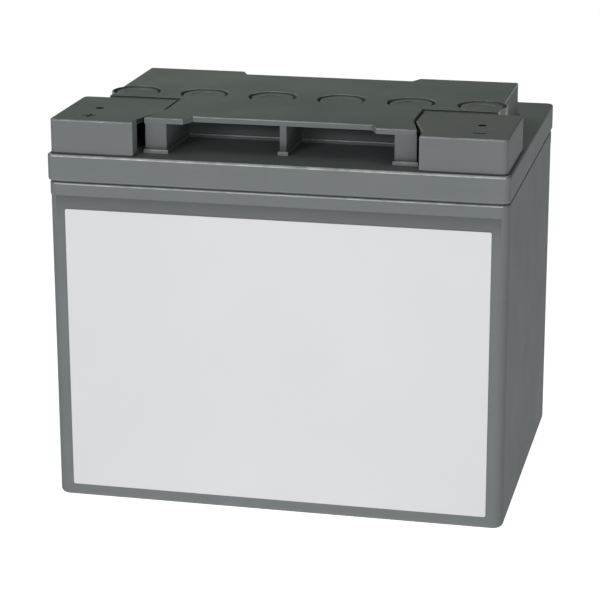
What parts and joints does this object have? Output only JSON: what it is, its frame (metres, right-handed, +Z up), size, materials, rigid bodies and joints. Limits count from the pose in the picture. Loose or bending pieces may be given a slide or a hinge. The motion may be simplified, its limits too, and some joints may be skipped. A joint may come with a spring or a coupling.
{
  "type": "sealed lead-acid battery",
  "caption": "Sealed block battery in grey plastic: plain box with a blank front label, overhanging lid, raised lifting bar with finger bays and flush vents, covered screw terminals.",
  "frame": {"origin": "bottom centre of the block, on the surface it stands on", "axes": "+X along the long side with the positive terminal at -X, the labelled front with both terminals towards -Y, +Z up"},
  "size_m": [0.198, 0.149, 0.1701],
  "materials": {
    "case_plastic": "fine moulded grain",
    "cover_plastic": "fine moulded grain",
    "label_film": "satin film, blank",
    "valve_rubber": "matt",
    "terminal_brass": "tinned",
    "positive_lead": "pasted plate, brown",
    "negative_lead": "pasted plate, grey",
    "glass_mat": "fibre mat"
  },
  "bodies": {
    "root": {"container": "case_plastic", "lid": "case_plastic", "top_cover": "cover_plastic", "front_label": "label_film", "terminal_cover_positive": "cover_plastic", "terminal_cover_negative": "cover_plastic", "vent_plug_1": "cover_plastic", "vent_plug_2": "cover_plastic", "vent_plug_3": "cover_plastic", "vent_plug_4": "cover_plastic", "vent_plug_5": "cover_plastic", "vent_plug_6": "cover_plastic", "relief_valve_1": "valve_rubber", "relief_valve_2": "valve_rubber", "relief_valve_3": "valve_rubber", "relief_valve_4": "valve_rubber", "relief_valve_5": "valve_rubber", "relief_valve_6": "valve_rubber", "positive_terminal": "terminal_brass", "negative_terminal": "terminal_brass", "positive_gasket": "valve_rubber", "negative_gasket": "valve_rubber", "positive_plates_1": "positive_lead", "negative_plates_1": "negative_lead", "separators_1": "glass_mat", "positive_plates_2": "positive_lead", "negative_plates_2": "negative_lead", "separators_2": "glass_mat", "positive_plates_3": "positive_lead", "negative_plates_3": "negative_lead", "separators_3": "glass_mat", "positive_plates_4": "positive_lead", "negative_plates_4": "negative_lead", "separators_4": "glass_mat", "positive_plates_5": "positive_lead", "negative_plates_5": "negative_lead", "separators_5": "glass_mat", "positive_plates_6": "positive_lead", "negative_plates_6": "negative_lead", "separators_6": "glass_mat", "intercell_weld_1": "negative_lead", "intercell_weld_2": "negative_lead", "intercell_weld_3": "negative_lead", "intercell_weld_4": "negative_lead", "intercell_weld_5": "negative_lead"}
  },
  "joints": []
}
